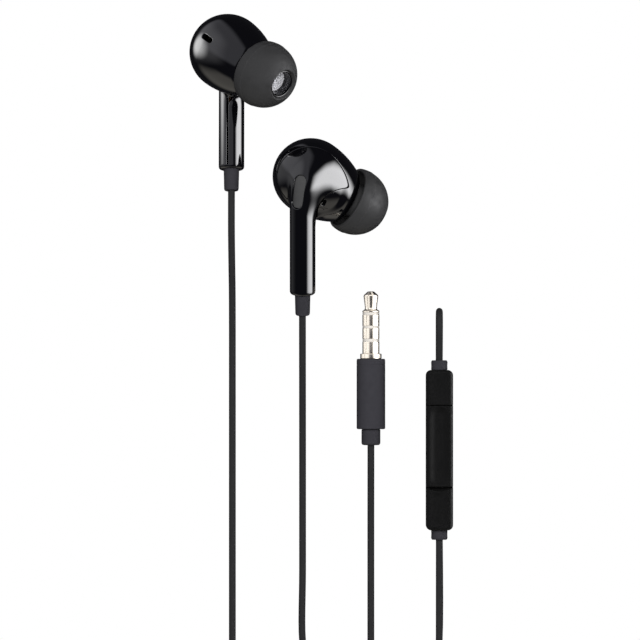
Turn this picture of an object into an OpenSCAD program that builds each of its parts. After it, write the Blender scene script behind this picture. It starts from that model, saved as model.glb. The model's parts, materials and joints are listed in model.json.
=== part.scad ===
// Wired in-ear earphones laid flat: two stemmed earbuds, an inline remote, a
// 3.5 mm four-pole plug, a Y splitter, and the spare cord wound in two coils.
// Millimetres. The surface they lie on is z = 0, and +Y points up along the stems.

/* [Earbud] */
// Radius of the round head
head_r = 8.2; // [7.8:0.1:8.4]
// Radius of the arc that narrows the head towards the nozzle
front_arc_r = 14.5; // [13.5:0.1:16]
// Distance from the head's centre to its front shoulder
front_len = 9.1; // [8.8:0.1:9.4]
// Wall of the moulded housings
wall = 0.9; // [0.7:0.05:1]
// Angle between the nozzle and the stem, seen from below
nozzle_drop = 61; // [56:1:66]
// Turn of the nozzle away from the outer face
nozzle_yaw = 22; // [18:1:26]
// Diameter of the stem
stem_d = 5.2; // [5:0.1:5.4]
// Distance from the head's centre to the stem's lower end
stem_len = 22.8; // [21:0.1:24]

/* [Ear tip] */
// Radius of the silicone dome
tip_r = 6.9; // [6.6:0.1:7]
// Radius of the nozzle's lip
lip_r = 2.5; // [2.4:0.05:2.6]
// Radius of the sound opening at the tip's mouth
mouth_r = 3; // [2.9:0.05:3.1]

/* [Remote] */
// Width of the remote
remote_w = 5.6; // [5.2:0.1:6]
// Length of the remote
remote_l = 33; // [33:0.1:33.4]
// Thickness of the remote
remote_t = 5; // [5:0.1:5.2]
// Height of the remote's back above the surface, over the cord that runs under it
remote_lift = 1.4; // [1.4:0.05:1.6]
// Travel of a button
press = 0.25; // [0.2:0.01:0.25]

/* [Plug] */
// Radius of the plug's contacts
contact_r = 1.75; // [1.7:0.05:1.75]
// Radius of the plug's grip
grip_r = 2.95; // [2.8:0.05:2.95]
// Length of the plug's grip
grip_l = 14.5; // [14:0.1:15]

/* [Cord] */
// Diameter of the cord
cord_d = 1.3; // [1.2:0.05:1.3]

/* [Hidden] */
$fn = 72;

gap = 0.05;        // seam between two housings
big = 40;          // reach of a cutting block
cord_r = cord_d / 2;

// How each bud lies: place of its head's centre, tilt of its stem, turn about its stem
right_place = [-2, 20.3, 11.25];
right_tilt = 13;
right_turn = -3;
left_place = [-18.95, 45.85, 9.05];
left_tilt = -10;
left_turn = 162;

// Stem axis, measured from the head's centre
stem_x = -1.24;
stem_y = -6.2;
stem_top = 1.5;
stem_bore_r = 1.8;
stem_bore_top = -2;
seam_y = -3.4;
// Round bite out of the outer shell, between the stem and the cap
bite_r = 5.5;
bite_x = 7.1;
bite_z = -6.5;
// Vent grille on the stem's outer face, turned about the stem and tilted in its own plane
grille_w = 2.6;
grille_l = 6.9;
grille_z = -0.7;
grille_turn = 19;
grille_tilt = 8;
grille_seat = 1.45; // floor of its pocket, from the stem's axis
grille_deep = 0.6;
// Stations along the nozzle's axis, from the head's centre
neck_r = 2.2;
lip_len = 2.4;
nozzle_end = 16.75;
nozzle_bore_r = 1.6;
mesh_r = 2;
mesh_t = 0.2;
mesh_deep = 1.7;
tip_back = 9.35;
tip_mid = 11.2;
tip_mouth = 17.35;
tip_skin = 0.6;
tip_core_r = 3.2;
driver_r = 5;
driver_back = 1.6;
driver_front = 5.5;
relief_len = 4.4;

remote_x = 24.6;
remote_top_y = -18.9;
remote_z = remote_lift;
cap_floor = 3.55;      // where the button caps start, above the remote's back
remote_axis = 1.8;     // height of the cord's axis above the remote's back
remote_relief_len = 2;
split_a = 7.3;         // seam between the first and second buttons, from the top end
split_b = 24.1;        // seam between the second and third buttons
cap_gap = 0.12;
board_top = 2.4;       // heights above the remote's back
board_t = 0.5;
mic_y = -12;

plug_x = 10.5;
plug_face_y = -16.6;   // front face of the grip
plug_len = 13.9;
flange_l = 0.95;
flange_r = 2.2;

splitter_x = -18;
splitter_top_y = -101.5;
splitter_l = 10;
splitter_r = 1.9;

coil_lift = 0.4;
tie_w = 2.4;
tie_t = 0.35;
left_coil_at = [-11.75, -88.6];
left_coil_mid = 7;
left_coil_side = [2, 2];
trunk_coil_at = [1, -108.6];
trunk_coil_mid = 7.5;
trunk_coil_side = [4, 4];

// Routes of the cords where they aren't coiled
left_route = [
    [-18.2, 17.95, 7.6], [-18.2, 14, 8.1], [-18.2, 9, 7.6], [-18.15, 3, 5.5], [-18.1, -3, 2.9],
    [-18.1, -9, 1.1], [-18.1, -15, 0.7], [-18.1, -35, 0.7], [-18.1, -60, 0.7],
    [-18.1, -78, 0.8], [-18.1, -83.4, 1]
];
left_end_route = [
    [-19.4, -92, 1], [-19.3, -96, 0.9], [-18.95, -99, 1.5], [-18.95, -101.5, 1.9]
];
right_upper_route = [
    [-3.6, -7.6, 11.1], [-3.6, -12, 9.8], [-3.6, -18, 7.5], [-3.6, -24, 4.9], [-3.6, -30, 2.6],
    [-3.6, -36, 1.1], [-3.6, -42, 0.7], [-3.6, -60, 0.7], [-3.6, -75, 0.7],
    [-1.7, -82.1, 0.7], [3.4, -87.2, 1.4], [10.5, -89.1, 2.2], [17.6, -87.2, 1.4],
    [22.7, -82.1, 0.7], [24.6, -75, 0.7], [24.6, -45, 0.7], [24.6, -14, 0.7], [24.6, -9.5, 0.7],
    [24.6, -7.6, 1.4], [24.6, -6.8, 3.3], [24.6, -7.6, 5.2], [24.6, -9.5, 6], [24.6, -13, 5],
    [24.6, -17, 3.2]
];
right_lower_route = [
    [24.6, -53.8, 3.2], [24.6, -58, 2.8], [24.6, -65, 2.3], [24.6, -73, 2.1], [24.6, -79, 2],
    [24.6, -84, 1.2], [24.6, -89, 0.7], [23.6, -93.3, 0.7], [20.6, -96.2, 0.7], [17, -97, 0.9],
    [13.5, -97.1, 1.7], [10.5, -97.1, 2.2], [7.5, -97.1, 1.7], [4, -97.2, 0.8], [-5, -97.8, 0.7],
    [-12, -98.1, 0.7], [-14.6, -98.4, 0.9], [-16.5, -99.5, 1.4], [-17.05, -101.5, 1.9]
];
trunk_route = [
    [10.5, -34.4, 2.95], [10.5, -38, 2.7], [10.5, -43, 1.7], [10.5, -48, 0.9], [10.5, -53, 0.7],
    [10.5, -75, 0.7], [10.5, -98, 0.7], [10.5, -105.5, 1]
];
trunk_end_route = [
    [-18, -114.2, 1.9], [-17.2, -116.6, 2], [-15, -118, 2.2], [-11, -118.1, 2.9],
    [-6.5, -118.1, 4.1], [-2.4, -118.1, 5]
];

// ---------------------------------------------------------------- helpers

// Moves pieces from a bud's own frame (head's centre, stem up +Z, outer face -Y) to their place
module right_bud() {
    translate(right_place) rotate([right_tilt - 90, 0, 0]) rotate([0, 0, right_turn]) children();
}

module left_bud() {
    translate(left_place) rotate([left_tilt - 90, 0, 0]) rotate([0, 0, left_turn])
        mirror([1, 0, 0]) children();
}

// Turns +Z to the nozzle's axis, in a bud's own frame
module along_nozzle() {
    rotate([0, 180 - nozzle_drop, nozzle_yaw]) children();
}

module tube(r_out, r_in, z0, z1) {
    translate([0, 0, z0]) difference() {
        cylinder(h = z1 - z0, r = r_out);
        translate([0, 0, -1]) cylinder(h = z1 - z0 + 2, r = r_in);
    }
}

// Round wire from one point to another
module wire(a, b, r) {
    d = b - a;
    len = norm(d);
    translate(a) rotate([0, acos(d[2] / len), atan2(d[1], d[0])]) cylinder(h = len, r = r);
}

function unit(v) = v / norm(v);

function tangent(p, i) = unit(p[min(i + 1, len(p) - 1)] - p[max(i - 1, 0)]);

// Direction of a ring's first corner, carried along the route without twist
function side_at(p, i) =
    let (t = tangent(p, i), s = i == 0 ? cross(t, [1, 0, 0]) : side_at(p, i - 1))
    unit(s - (s * t) * t);

// Eight-sided cord along a route, one ring at each point
module cord(route) {
    sides = 8;
    n = len(route);
    points = [for (i = [0:n - 1])
        let (t = tangent(route, i), u = side_at(route, i), v = cross(t, u))
        for (k = [0:sides - 1])
            route[i] + cord_r * (cos(360 * k / sides) * u + sin(360 * k / sides) * v)];
    walls = [for (i = [0:n - 2]) for (k = [0:sides - 1]) for (half = [0, 1])
        let (a = i * sides + k, b = i * sides + (k + 1) % sides)
        half == 0 ? [a, b, b + sides] : [a, b + sides, a + sides]];
    polyhedron(points, concat(walls,
        [[for (k = [sides - 1:-1:0]) k]],
        [[for (k = [0:sides - 1]) (n - 1) * sides + k]]), convexity = 8);
}

// ---------------------------------------------------------------- earbud, in its own frame

// Half section of the head: a round back, and a front that narrows along an arc
module head_outline(inset) {
    r = head_r - inset;
    arc = front_arc_r - inset;
    front = front_len - inset;
    steps = 10;
    intersection() {
        circle(r = r);
        translate([0, -r]) square([r, r]);
    }
    polygon([[0, 0], for (i = [0:steps])
        let (t = front * i / steps) [head_r - front_arc_r + sqrt(arc * arc - t * t), t],
        [0, front]]);
}

module head(inset) {
    along_nozzle() rotate_extrude() head_outline(inset);
}

module stem_rod(r, bottom, top) {
    translate([stem_x, stem_y, bottom]) cylinder(h = top - bottom, r = r);
}

module stem_solid() {
    edge = 0.5;
    stem_rod(stem_d / 2, edge - stem_len, stem_top);
    translate([stem_x, stem_y, -stem_len]) cylinder(h = edge, r1 = stem_d / 2 - edge, r2 = stem_d / 2);
    translate([stem_x, stem_y, stem_top]) sphere(r = stem_d / 2);
}

// Everything on the outer side of the seam, less the round bite
module outer_side(shift) {
    difference() {
        translate([-big, seam_y - shift - 2 * big, -big]) cube([2 * big, 2 * big, 2 * big]);
        bite(shift);
    }
}

module bite(grow) {
    r = bite_r + grow;
    depth = big;
    translate([bite_x, seam_y + 1, bite_z]) rotate([90, 0, 0]) cylinder(h = depth, r = r);
    translate([bite_x, seam_y + 1 - depth, bite_z - big]) cube([big, depth, big + r]);
    translate([bite_x - r, seam_y + 1 - depth, bite_z - big]) cube([big, depth, big]);
}

// Pill that runs outward from a distance off the stem's axis
module grille_pill(w, l, from) {
    translate([stem_x, stem_y, grille_z]) rotate([0, 0, -grille_turn]) rotate([90, 0, 0])
        rotate([0, 0, -grille_tilt]) translate([0, 0, from]) linear_extrude(6) union() {
        translate([0, (l - w) / 2]) circle(r = w / 2);
        translate([0, (w - l) / 2]) circle(r = w / 2);
        translate([-w / 2, (w - l) / 2]) square([w, l - w]);
    }
}

module outer_shell() {
    difference() {
        union() {
            intersection() {
                head(0);
                outer_side(0);
            }
            stem_solid();
        }
        head(wall);
        stem_rod(stem_bore_r, -stem_len - 1, stem_bore_top);
        grille_pill(grille_w, grille_l, grille_seat);
    }
}

// Half section of the head with its nozzle, hollow, with a ledge in front of the driver
module inner_outline() {
    difference() {
        union() {
            head_outline(0);
            square([neck_r, nozzle_end]);
            translate([0, nozzle_end - lip_len]) square([lip_r, lip_len]);
        }
        difference() {
            head_outline(wall);
            translate([driver_r - 0.6, driver_front]) square([big, wall]);
        }
        square([nozzle_bore_r, nozzle_end + 1]);
        translate([0, nozzle_end - mesh_t - mesh_deep]) square([mesh_r, mesh_t + mesh_deep + 1]);
    }
}

module inner_shell() {
    difference() {
        along_nozzle() rotate_extrude() inner_outline();
        outer_side(-gap);
    }
}

module nozzle_mesh() {
    along_nozzle() translate([0, 0, nozzle_end - mesh_t - mesh_deep]) cylinder(h = mesh_t, r = mesh_r);
}

module ear_tip() {
    along_nozzle() rotate_extrude() difference() {
        union() {
            // Dome with a hollow behind it
            difference() {
                intersection() {
                    translate([0, tip_mid]) circle(r = tip_r);
                    translate([0, tip_back]) square([big, tip_mouth - tip_back]);
                }
                intersection() {
                    translate([0, tip_mid]) circle(r = tip_r - tip_skin);
                    square([big, tip_mouth - 1.2]);
                }
            }
            // Core that grips the nozzle
            translate([0, tip_back]) square([tip_core_r, tip_mouth - tip_back]);
        }
        square([lip_r + gap, big]);
        polygon([[0, tip_mouth - 1.6], [lip_r + gap, tip_mouth - 1.6],
            [mouth_r, tip_mouth - 0.4], [mouth_r + 0.1, tip_mouth + 1], [0, tip_mouth + 1]]);
        translate([-big, 0]) square([big, big]);
    }
}

module vent_grille() {
    intersection() {
        grille_pill(grille_w - 0.06, grille_l - 0.06, grille_seat + 0.02);
        grille_floor();
    }
}

module grille_floor() {
    r = stem_d / 2 - grille_deep;
    stem_rod(r, grille_z - grille_l, stem_top);
    translate([stem_x, stem_y, stem_top]) sphere(r = r);
}

module driver_frame() {
    along_nozzle() {
        tube(driver_r - gap, driver_r - 0.4, driver_back, driver_front);
        tube(driver_r - 0.2, 3.45, driver_back, driver_back + 0.4);
    }
}

module driver_yoke() {
    along_nozzle() {
        tube(3.4, 2.9, 1.2, 3.6);
        translate([0, 0, 0.8]) cylinder(h = 0.4, r = 3.4);
    }
}

module driver_magnet() {
    along_nozzle() translate([0, 0, 1.2]) cylinder(h = 1.7, r = 2.25);
}

module driver_plate() {
    along_nozzle() translate([0, 0, 2.9]) cylinder(h = 0.6, r = 2.3);
}

module voice_coil() {
    along_nozzle() tube(2.7, 2.5, 2.3, 4.2);
}

module diaphragm() {
    along_nozzle() {
        translate([0, 0, 4.2]) cylinder(h = 0.15, r = driver_r - 0.6);
        translate([0, 0, 4.35]) cylinder(h = 0.3, r1 = 2.6, r2 = 1.6);
    }
}

module driver_board() {
    along_nozzle() {
        translate([0, 0, 0.2]) cylinder(h = 0.5, r = 2.6);
        for (x = [-1.2, 1.2]) translate([x, 0, -0.1]) cylinder(h = 0.3, r = 0.5);
    }
}

// Two wires from a crimp in the stem to the board behind the driver
module signal_wires() {
    r = 0.2;
    bend_z = -2.6;
    crimp_top = -18;
    for (side = [-0.45, 0.45]) {
        wire([stem_x + side, stem_y, crimp_top], [stem_x + side, stem_y, bend_z], r);
        wire([stem_x + side, stem_y, bend_z - r], [side, -2.9, -0.8], r);
    }
    translate([stem_x, stem_y, crimp_top - 2]) cylinder(h = 2, r = 1.2);
}

module strain_relief() {
    translate([stem_x, stem_y, -stem_len - relief_len]) rotate_extrude() polygon([
        [0, 0], [1.25, 0], [1.4, 0.3], [1.5, relief_len], [stem_bore_r, relief_len],
        [stem_bore_r, relief_len + 0.5], [0, relief_len + 0.5]]);
}

// ---------------------------------------------------------------- remote, in its own frame

// Origin on the back face, at the middle of its top end; the length runs along -Y
module remote_place() {
    translate([remote_x, remote_top_y, remote_z]) children();
}

module remote_section(inset) {
    w = remote_w / 2 - inset;
    corner = 1.3 - inset;
    translate([0, remote_t / 2]) union() {
        for (sx = [-1, 1]) for (sy = [-1, 1])
            translate([sx * (w - corner), sy * (remote_t / 2 - inset - corner)]) circle(r = corner);
        translate([-w, corner + inset - remote_t / 2]) square([2 * w, remote_t - 2 * inset - 2 * corner]);
        translate([corner - w, inset - remote_t / 2]) square([2 * w - 2 * corner, remote_t - 2 * inset]);
    }
}

module remote_plan(inset) {
    w = remote_w / 2 - inset;
    corner = 1.1 - inset;
    for (sx = [-1, 1]) for (y = [-1.1, 1.1 - remote_l])
        translate([sx * (w - corner), y]) circle(r = corner);
    translate([-w, 1.1 - remote_l]) square([2 * w, remote_l - 2.2]);
    translate([corner - w, inset - remote_l]) square([2 * w - 2 * corner, remote_l - 2 * inset]);
}

module remote_solid(inset) {
    intersection() {
        rotate([90, 0, 0]) linear_extrude(remote_l) remote_section(inset);
        linear_extrude(remote_t) remote_plan(inset);
    }
}

module slab(y_low, y_high, z_low, z_high) {
    translate([-big / 2, y_low, z_low]) cube([big, y_high - y_low, z_high - z_low]);
}

module remote_base() {
    floor_z = 0.7;
    boss = 2.2;
    remote_place() {
        difference() {
            intersection() {
                remote_solid(0);
                slab(-remote_l - 1, 1, -1, cap_floor - press - cap_gap);
            }
            // Tray, closed at both ends by a boss that holds a strain relief
            intersection() {
                remote_solid(floor_z);
                slab(boss - remote_l, -boss, -1, remote_t);
            }
            for (y = [-1, 1 - remote_l]) translate([0, y, remote_axis]) rotate([90, 0, 0])
                cylinder(h = boss + 0.4, r = 1.1, center = true);
            // Sound hole of the microphone
            translate([0, mic_y, -1]) cylinder(h = 3, r = 0.35);
        }
        for (y = [-7.5, -25]) translate([-1.5, y, floor_z - 0.1])
            cube([3, 0.8, board_top - board_t - floor_z + 0.1]);
    }
}

// Cap of one button: hollow underneath, with a post over its switch
module button(y_high, y_low) {
    skin = 0.7;
    half_w = remote_w / 2 - skin;
    remote_place() difference() {
        intersection() {
            remote_solid(0);
            slab(y_low + cap_gap / 2, y_high - cap_gap / 2, cap_floor, big);
        }
        difference() {
            translate([-half_w, y_low + skin, cap_floor - 1])
                cube([2 * half_w, y_high - y_low - 2 * skin, remote_t - skin - cap_floor + 1]);
            translate([0, (y_low + y_high) / 2, 0]) cylinder(h = remote_t, r = 0.6);
        }
    }
}

module remote_board() {
    remote_place() translate([-1.8, -30, board_top - board_t]) cube([3.6, 27, board_t]);
}

module remote_switches() {
    remote_place() for (y = [-split_a / 2, -(split_a + split_b) / 2, -(split_b + remote_l) / 2])
        translate([0, y, board_top]) {
            translate([-1.3, -1.3, 0]) cube([2.6, 2.6, 0.5]);
            cylinder(h = 0.85, r = 0.7);
        }
}

module remote_microphone() {
    remote_place() translate([0, mic_y, board_top - board_t - 1]) cylinder(h = 1, r = 1.2);
}

module remote_relief(y, way) {
    remote_place() translate([0, y, remote_axis]) rotate([-90 * way, 0, 0]) rotate_extrude() polygon([
        [0, -1.5], [1.05, -1.5], [1.05, 0], [1.7, 0], [1.7, remote_relief_len - 0.4],
        [1.4, remote_relief_len], [0, remote_relief_len]]);
}

// ---------------------------------------------------------------- plug, pointing along +Y

module plug_place() {
    translate([plug_x, plug_face_y, grip_r]) rotate([-90, 0, 0]) children();
}

// Distances from the plug's point
function from_tip(d) = plug_len - d;

module plug_part(d0, d1) {
    plug_place() tube(contact_r, 0.8, from_tip(d1), from_tip(d0));
}

module plug_tip() {
    plug_place() rotate_extrude() polygon([
        [0, from_tip(4.3)], [contact_r, from_tip(4.3)], [contact_r, from_tip(4)],
        [1.25, from_tip(3.7)], [1.25, from_tip(3.4)], [1.5, from_tip(0.85)],
        [1.1, from_tip(0.3)], [0.7, from_tip(0)], [0, from_tip(0)]]);
}

module plug_insulators() {
    for (span = [[4.3, 4.85], [7.1, 7.6], [9.75, 10.4]]) plug_part(span[0], span[1]);
}

module plug_sleeve() {
    plug_part(10.4, plug_len - flange_l);
    plug_place() tube(flange_r, 0.8, 0, flange_l);
}

module plug_core() {
    plug_place() translate([0, 0, -3]) cylinder(h = from_tip(4.3) + 3, r = 0.75);
}

module plug_grip() {
    edge = 0.35;
    plug_place() rotate_extrude() polygon([
        [0.8, 0], [grip_r - edge, 0], [grip_r, -edge], [grip_r, edge - grip_l],
        [grip_r - edge, -grip_l], [1.3, -grip_l], [1.3, -grip_l + 2], [0.8, -grip_l + 2]]);
}

module plug_relief() {
    len = 3.3;
    plug_place() rotate_extrude() polygon([
        [0, 1.9 - grip_l], [1.25, 1.9 - grip_l], [1.25, -grip_l], [1.95, -grip_l],
        [1.95, 0.6 - grip_l - len], [1.5, -grip_l - len], [0, -grip_l - len]]);
}

// ---------------------------------------------------------------- splitter and coils

module splitter_place() {
    translate([splitter_x, splitter_top_y, splitter_r]) rotate([90, 0, 0]) children();
}

module splitter_body() {
    edge = 0.4;
    splitter_place() {
        translate([0, 0, edge]) cylinder(h = splitter_l - edge, r = splitter_r);
        cylinder(h = edge, r1 = splitter_r - edge, r2 = splitter_r);
    }
}

module splitter_relief() {
    splitter_place() translate([0, 0, splitter_l])
        cylinder(h = 2.7, r1 = 1.5, r2 = cord_r + 0.15);
}

module coil(at, mid, side) {
    translate([at[0], at[1], coil_lift]) rotate_extrude()
        translate([mid - side[0] * cord_r, 0]) square([side[0] * cord_d, side[1] * cord_d]);
}

// Flat strap round the coil's bundle, at one angle
module tie(at, mid, side, angle) {
    slack = 0.2;
    lift = 0.03;
    w = side[0] * cord_d + 2 * slack;
    h = side[1] * cord_d + 2 * lift;
    translate([at[0], at[1], coil_lift]) rotate([0, 0, angle]) translate([mid, 0, 0])
        rotate([90, 0, 0]) translate([0, 0, -tie_w / 2]) linear_extrude(tie_w) difference() {
            translate([-w / 2 - tie_t, -lift - tie_t]) square([w + 2 * tie_t, h + 2 * tie_t]);
            translate([-w / 2, -lift]) square([w, h]);
        }
}

// ---------------------------------------------------------------- nodes

module right_outer_shell() { color([0.03, 0.03, 0.035]) right_bud() outer_shell(); }
module right_inner_shell() { color([0.05, 0.05, 0.055]) right_bud() inner_shell(); }
module right_nozzle_mesh() { color([0.75, 0.75, 0.77]) right_bud() nozzle_mesh(); }
module right_ear_tip() { color([0.16, 0.16, 0.16]) right_bud() ear_tip(); }
module right_vent_grille() { color([0.2, 0.2, 0.2]) right_bud() vent_grille(); }
module right_driver_frame() { color([0.8, 0.8, 0.78]) right_bud() driver_frame(); }
module right_driver_yoke() { color([0.6, 0.6, 0.6]) right_bud() driver_yoke(); }
module right_driver_magnet() { color([0.5, 0.5, 0.5]) right_bud() driver_magnet(); }
module right_driver_plate() { color([0.6, 0.6, 0.6]) right_bud() driver_plate(); }
module right_voice_coil() { color([0.72, 0.42, 0.2]) right_bud() voice_coil(); }
module right_diaphragm() { color([0.85, 0.85, 0.8]) right_bud() diaphragm(); }
module right_driver_board() { color([0.05, 0.35, 0.15]) right_bud() driver_board(); }
module right_wires() { color([0.7, 0.15, 0.1]) right_bud() signal_wires(); }
module right_strain_relief() { color([0.06, 0.06, 0.07]) right_bud() strain_relief(); }

module left_outer_shell() { color([0.03, 0.03, 0.035]) left_bud() outer_shell(); }
module left_inner_shell() { color([0.05, 0.05, 0.055]) left_bud() inner_shell(); }
module left_nozzle_mesh() { color([0.75, 0.75, 0.77]) left_bud() nozzle_mesh(); }
module left_ear_tip() { color([0.16, 0.16, 0.16]) left_bud() ear_tip(); }
module left_vent_grille() { color([0.2, 0.2, 0.2]) left_bud() vent_grille(); }
module left_driver_frame() { color([0.8, 0.8, 0.78]) left_bud() driver_frame(); }
module left_driver_yoke() { color([0.6, 0.6, 0.6]) left_bud() driver_yoke(); }
module left_driver_magnet() { color([0.5, 0.5, 0.5]) left_bud() driver_magnet(); }
module left_driver_plate() { color([0.6, 0.6, 0.6]) left_bud() driver_plate(); }
module left_voice_coil() { color([0.72, 0.42, 0.2]) left_bud() voice_coil(); }
module left_diaphragm() { color([0.85, 0.85, 0.8]) left_bud() diaphragm(); }
module left_driver_board() { color([0.05, 0.35, 0.15]) left_bud() driver_board(); }
module left_wires() { color([0.7, 0.15, 0.1]) left_bud() signal_wires(); }
module left_strain_relief() { color([0.06, 0.06, 0.07]) left_bud() strain_relief(); }

right_outer_shell();
right_inner_shell();
right_nozzle_mesh();
right_ear_tip();
right_vent_grille();
right_driver_frame();
right_driver_yoke();
right_driver_magnet();
right_driver_plate();
right_voice_coil();
right_diaphragm();
right_driver_board();
right_wires();
right_strain_relief();
left_outer_shell();
left_inner_shell();
left_nozzle_mesh();
left_ear_tip();
left_vent_grille();
left_driver_frame();
left_driver_yoke();
left_driver_magnet();
left_driver_plate();
left_voice_coil();
left_diaphragm();
left_driver_board();
left_wires();
left_strain_relief();
color([0.08, 0.08, 0.08]) remote_base();
color([0.1, 0.1, 0.1]) button(0, -split_a);  // volume_up_button
color([0.1, 0.1, 0.1]) button(-split_a, -split_b);  // play_button
color([0.1, 0.1, 0.1]) button(-split_b, -remote_l);  // volume_down_button
color([0.05, 0.35, 0.15]) remote_board();
color([0.75, 0.75, 0.75]) remote_switches();
color([0.8, 0.75, 0.5]) remote_microphone();
color([0.08, 0.08, 0.09]) remote_relief(0, 1);  // remote_upper_relief
color([0.08, 0.08, 0.09]) remote_relief(-remote_l, -1);  // remote_lower_relief
color([0.85, 0.8, 0.7]) plug_tip();
color([0.85, 0.8, 0.7]) plug_part(4.85, 7.1);  // plug_first_ring
color([0.85, 0.8, 0.7]) plug_part(7.6, 9.75);  // plug_second_ring
color([0.85, 0.8, 0.7]) plug_sleeve();
color([0.95, 0.94, 0.9]) plug_insulators();
color([0.7, 0.6, 0.4]) plug_core();
color([0.1, 0.1, 0.12]) plug_grip();
color([0.08, 0.08, 0.09]) plug_relief();
color([0.08, 0.08, 0.08]) splitter_body();
color([0.08, 0.08, 0.08]) splitter_relief();
color([0.06, 0.06, 0.06]) cord(left_route);  // left_cord
color([0.06, 0.06, 0.06]) cord(left_end_route);  // left_cord_end
color([0.06, 0.06, 0.06]) cord(right_upper_route);  // right_upper_cord
color([0.06, 0.06, 0.06]) cord(right_lower_route);  // right_lower_cord
color([0.06, 0.06, 0.06]) cord(trunk_route);  // trunk_cord
color([0.06, 0.06, 0.06]) cord(trunk_end_route);  // trunk_cord_end
color([0.06, 0.06, 0.06]) coil(left_coil_at, left_coil_mid, left_coil_side);  // left_coil
color([0.06, 0.06, 0.06]) coil(trunk_coil_at, trunk_coil_mid, trunk_coil_side);  // trunk_coil
color([0.1, 0.1, 0.1]) tie(left_coil_at, left_coil_mid, left_coil_side, 0);  // left_coil_tie
color([0.1, 0.1, 0.1]) tie(trunk_coil_at, trunk_coil_mid, trunk_coil_side, -45);  // trunk_coil_tie
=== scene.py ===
"""Looks of the wired earphones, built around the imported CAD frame.

Shapes are worked out in millimetres, in each piece's own frame, and written to meshes in metres. The cords'
routes, the camera and the lights are in metres, in the shared frame.
"""
import json
import math

import bpy
import numpy as np
from mathutils import Matrix, Vector


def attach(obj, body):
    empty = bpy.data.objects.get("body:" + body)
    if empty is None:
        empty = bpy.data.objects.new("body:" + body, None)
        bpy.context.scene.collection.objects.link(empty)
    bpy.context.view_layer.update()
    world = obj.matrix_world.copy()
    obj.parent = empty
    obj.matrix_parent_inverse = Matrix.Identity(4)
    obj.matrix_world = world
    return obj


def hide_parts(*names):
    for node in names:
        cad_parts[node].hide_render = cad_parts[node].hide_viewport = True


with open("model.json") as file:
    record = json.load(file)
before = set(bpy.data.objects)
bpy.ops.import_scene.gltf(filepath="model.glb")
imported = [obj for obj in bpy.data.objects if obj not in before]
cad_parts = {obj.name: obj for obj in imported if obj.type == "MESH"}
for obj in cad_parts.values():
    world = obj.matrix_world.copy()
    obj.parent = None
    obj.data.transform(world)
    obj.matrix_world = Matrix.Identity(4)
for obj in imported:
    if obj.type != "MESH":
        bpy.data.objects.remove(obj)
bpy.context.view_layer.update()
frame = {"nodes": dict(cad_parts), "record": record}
scene = bpy.context.scene

MM = 0.001
SLOT_OF = {s["node"]: s["material_slot"] for s in frame["record"]["subparts"]}
BODY_OF = {n: b for b, nodes in frame["record"]["behaviour"]["bodies"].items() for n in nodes}

# ---------------------------------------------------------------- sizes, mm

# Earbud, in its own frame: head's centre, stem up +Z, outer face -Y
HEAD_AT, HEAD_R, HEAD_DROP = (0.1, 0.35, 0.5), 7.85, 7
FRONT_ARC_R, FRONT_LEN, FRONT_SOFT = 18.8, 9.1, 0.9
STEM_X, STEM_Y, STEM_TOP = -1.24, -6.2, 1.5
STEM_R, STEM_LEN, STEM_END_ROUND = 2.63, 22.8, 0.7
STEM_BEND = 0.08
SEAM_Y, SEAM_ROUND, SEAM_GAP, SEAM_EDGE = -3.4, 0.6, 0.05, 0.14
BITE_R, BITE_X, BITE_Z, BITE_STEP = 5.5, 7.1, -6.5, 0.35
WALL = 0.8
GRILLE_W, GRILLE_L, GRILLE_Z, GRILLE_TURN, GRILLE_TILT = 2.6, 7.0, -1.0, 19, 8.5
GRILLE_DEEP, GRILLE_CLEAR, GRILLE_THICK = 0.4, 0.12, 0.3
CLOTH_PITCH, CLOTH_HEIGHT = 0.32, 0.04
RELIEF_LEN = 4.4
# Grid of the surface net that the housings are made with
NET_STEP = 0.3

# Nozzle and ear tip, along the nozzle's axis from the head's centre
NECK_R, LIP_R, LIP_LEN, NOZZLE_END, NOZZLE_BORE_R = 2.2, 2.84, 2.4, 16.75, 1.6
MESH_R, MESH_Z = 2.35, 14.8
TIP_BACK, TIP_MID, TIP_MOUTH, TIP_R = 9.35, 11.2, 17.15, 6.9
TIP_SKIN, TIP_CORE_R, TIP_BORE_R, MOUTH_R = 0.6, 3.4, 2.9, 3.2

# Cord: its real diameter, which the coils are wound with, and the slightly thicker one that is drawn
CORD_D, CORD_LOOK_D = 1.3, 1.42
CORD_R, CORD_LOOK_R = CORD_D / 2, CORD_LOOK_D / 2
COIL_LIFT = 0.4

REMOTE_W, REMOTE_L, REMOTE_T = 5.6, 33.0, 5.0
REMOTE_SPLITS = (7.3, 24.1)
CAP_FLOOR, BASE_TOP, CAP_GAP = 3.55, 3.18, 0.12
# Rounding of the remote's two ends, seen from above and from the side, and of the other edges
REMOTE_END_R, REMOTE_END_DROP, REMOTE_EDGE = 1.1, 0.55, 0.14
DISH_HALF_W, DISH_END, DISH_END_R = 2.35, 1.9, 1.75
BOW_REACH = 3

PLUG_LEN, PLUG_R, GRIP_R, GRIP_L = 13.9, 1.75, 2.95, 14.5
FLANGE_R, FLANGE_L, FLANGE_GAP = 2.2, 0.95, 0.1
# The plug's insulating bands, from its point
BANDS = ((4.3, 4.85), (7.1, 7.6), (9.75, 10.4))
RING_BORE_R, BAND_STEP = 0.8, 0.03


def turn(axis, degrees):
    return Matrix.Rotation(math.radians(degrees), 4, axis)


def shift(x, y, z):
    return Matrix.Translation((x, y, z))


BUDS = {
    "right": shift(-2, 20.3, 11.25) @ turn("X", 13 - 90) @ turn("Z", -3),
    "left": shift(-18.95, 45.85, 9.05) @ turn("X", -10 - 90) @ turn("Z", 162) @ Matrix.Scale(-1, 4, (1, 0, 0)),
}
TO_NOZZLE = turn("Z", 22) @ turn("Y", 119)
NOZZLE = np.array(TO_NOZZLE.col[2][:3])
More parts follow.
